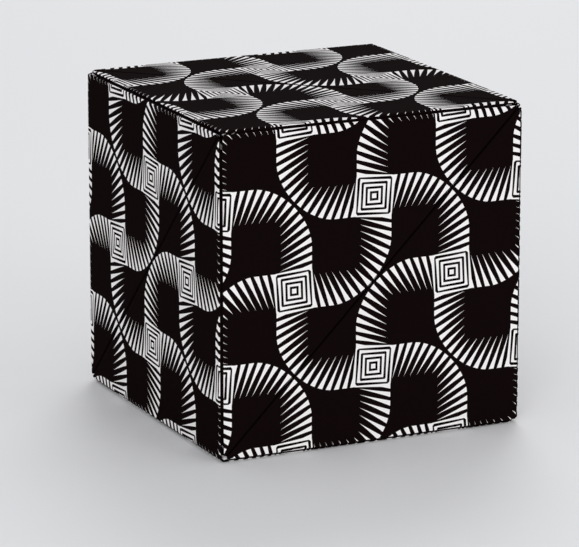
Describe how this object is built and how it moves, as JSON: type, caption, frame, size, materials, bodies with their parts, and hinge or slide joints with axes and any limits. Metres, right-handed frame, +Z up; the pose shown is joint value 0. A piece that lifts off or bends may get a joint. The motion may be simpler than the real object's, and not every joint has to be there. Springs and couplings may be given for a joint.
{
  "type": "magnetic desk sculpture",
  "caption": "Shape-shifting magnetic cube: equal hollow cells with magnets inside, hinged along the cube's edges into one ring that unfolds, under a black and white spiral print.",
  "frame": {"origin": "middle of the folded cube's base, on the surface it stands on", "axes": "+Z up; the face seen at the front looks towards -Y; +X to the right"},
  "size_m": [0.06, 0.06, 0.06],
  "materials": {
    "printed_film": "satin printed film, black and white",
    "tray_plastic": "moulded, matt",
    "cover_plastic": "moulded, matt",
    "magnet": "nickel plated",
    "hinge_film": "flexible film, satin"
  },
  "bodies": {
    "front_upper_cell": {"front_upper_skin": "printed_film", "front_upper_tray": "tray_plastic", "front_upper_cover": "cover_plastic", "front_upper_magnets": "magnet", "front_top_hinge": "hinge_film"},
    "top_front_cell": {"top_front_skin": "printed_film", "top_front_tray": "tray_plastic", "top_front_cover": "cover_plastic", "top_front_magnets": "magnet", "top_left_hinge": "hinge_film"},
    "left_upper_cell": {"left_upper_skin": "printed_film", "left_upper_tray": "tray_plastic", "left_upper_cover": "cover_plastic", "left_upper_magnets": "magnet", "rear_left_hinge": "hinge_film"},
    "rear_upper_cell": {"rear_upper_skin": "printed_film", "rear_upper_tray": "tray_plastic", "rear_upper_cover": "cover_plastic", "rear_upper_magnets": "magnet", "rear_top_hinge": "hinge_film"},
    "top_rear_cell": {"top_rear_skin": "printed_film", "top_rear_tray": "tray_plastic", "top_rear_cover": "cover_plastic", "top_rear_magnets": "magnet", "top_right_hinge": "hinge_film"},
    "right_upper_cell": {"right_upper_skin": "printed_film", "right_upper_tray": "tray_plastic", "right_upper_cover": "cover_plastic", "right_upper_magnets": "magnet", "rear_right_hinge": "hinge_film"},
    "rear_lower_cell": {"rear_lower_skin": "printed_film", "rear_lower_tray": "tray_plastic", "rear_lower_cover": "cover_plastic", "rear_lower_magnets": "magnet", "rear_base_hinge": "hinge_film"},
    "base_rear_cell": {"base_rear_skin": "printed_film", "base_rear_tray": "tray_plastic", "base_rear_cover": "cover_plastic", "base_rear_magnets": "magnet", "base_right_hinge": "hinge_film"},
    "right_lower_cell": {"right_lower_skin": "printed_film", "right_lower_tray": "tray_plastic", "right_lower_cover": "cover_plastic", "right_lower_magnets": "magnet", "front_right_hinge": "hinge_film"},
    "front_lower_cell": {"front_lower_skin": "printed_film", "front_lower_tray": "tray_plastic", "front_lower_cover": "cover_plastic", "front_lower_magnets": "magnet", "front_base_hinge": "hinge_film"},
    "base_front_cell": {"base_front_skin": "printed_film", "base_front_tray": "tray_plastic", "base_front_cover": "cover_plastic", "base_front_magnets": "magnet", "base_left_hinge": "hinge_film"},
    "left_lower_cell": {"left_lower_skin": "printed_film", "left_lower_tray": "tray_plastic", "left_lower_cover": "cover_plastic", "left_lower_magnets": "magnet", "front_left_hinge": "hinge_film"}
  },
  "joints": [
    {"name": "rear_top_fold", "type": "hinge", "parent": "rear_upper_cell", "child": "top_rear_cell", "pos_m": [0, 0.0296, 0.0596], "axis": [-1, 0, 0], "range_deg": [0, 90]},
    {"name": "top_right_fold", "type": "hinge", "parent": "top_rear_cell", "child": "right_upper_cell", "pos_m": [0.0296, 0, 0.0596], "axis": [0, -1, 0], "range_deg": [0, 120]},
    {"name": "rear_right_fold", "type": "hinge", "parent": "right_upper_cell", "child": "rear_lower_cell", "pos_m": [0.0296, 0.0296, 0.03], "axis": [0, 0, -1], "range_deg": [0, 90]},
    {"name": "rear_left_fold", "type": "hinge", "parent": "rear_upper_cell", "child": "left_upper_cell", "pos_m": [-0.0296, 0.0296, 0.03], "axis": [0, 0, -1], "range_deg": [0, 180]},
    {"name": "top_left_fold", "type": "hinge", "parent": "left_upper_cell", "child": "top_front_cell", "pos_m": [-0.0296, 0, 0.0596], "axis": [0, -1, 0], "range_deg": [0, 90]},
    {"name": "front_top_fold", "type": "hinge", "parent": "top_front_cell", "child": "front_upper_cell", "pos_m": [0, -0.0296, 0.0596], "axis": [-1, 0, 0], "range_deg": [0, 120]},
    {"name": "front_left_fold", "type": "hinge", "parent": "front_upper_cell", "child": "left_lower_cell", "pos_m": [-0.0296, -0.0296, 0.03], "axis": [0, 0, 1], "range_deg": [0, 90]},
    {"name": "base_left_fold", "type": "hinge", "parent": "left_lower_cell", "child": "base_front_cell", "pos_m": [-0.0296, 0, 0.0004], "axis": [0, 1, 0], "range_deg": [0, 180]},
    {"name": "front_base_fold", "type": "hinge", "parent": "base_front_cell", "child": "front_lower_cell", "pos_m": [0, -0.0296, 0.0004], "axis": [1, 0, 0], "range_deg": [0, 90]},
    {"name": "front_right_fold", "type": "hinge", "parent": "front_lower_cell", "child": "right_lower_cell", "pos_m": [0.0296, -0.0296, 0.03], "axis": [0, 0, -1], "range_deg": [0, 120]},
    {"name": "base_right_fold", "type": "hinge", "parent": "right_lower_cell", "child": "base_rear_cell", "pos_m": [0.0296, 0, 0.0004], "axis": [0, -1, 0], "range_deg": [0, 90]}
  ],
  "couplings": [
    {"joint": "rear_top_fold", "follows": "front_top_fold", "ratio": 0.75},
    {"joint": "top_right_fold", "follows": "front_top_fold", "ratio": 1},
    {"joint": "rear_right_fold", "follows": "front_top_fold", "ratio": 0.75},
    {"joint": "rear_left_fold", "follows": "front_top_fold", "ratio": 1.5},
    {"joint": "top_left_fold", "follows": "front_top_fold", "ratio": 0.75},
    {"joint": "front_left_fold", "follows": "front_top_fold", "ratio": 0.75},
    {"joint": "base_left_fold", "follows": "front_top_fold", "ratio": 1.5},
    {"joint": "front_base_fold", "follows": "front_top_fold", "ratio": 0.75},
    {"joint": "front_right_fold", "follows": "front_top_fold", "ratio": 1},
    {"joint": "base_right_fold", "follows": "front_top_fold", "ratio": 0.75}
  ]
}
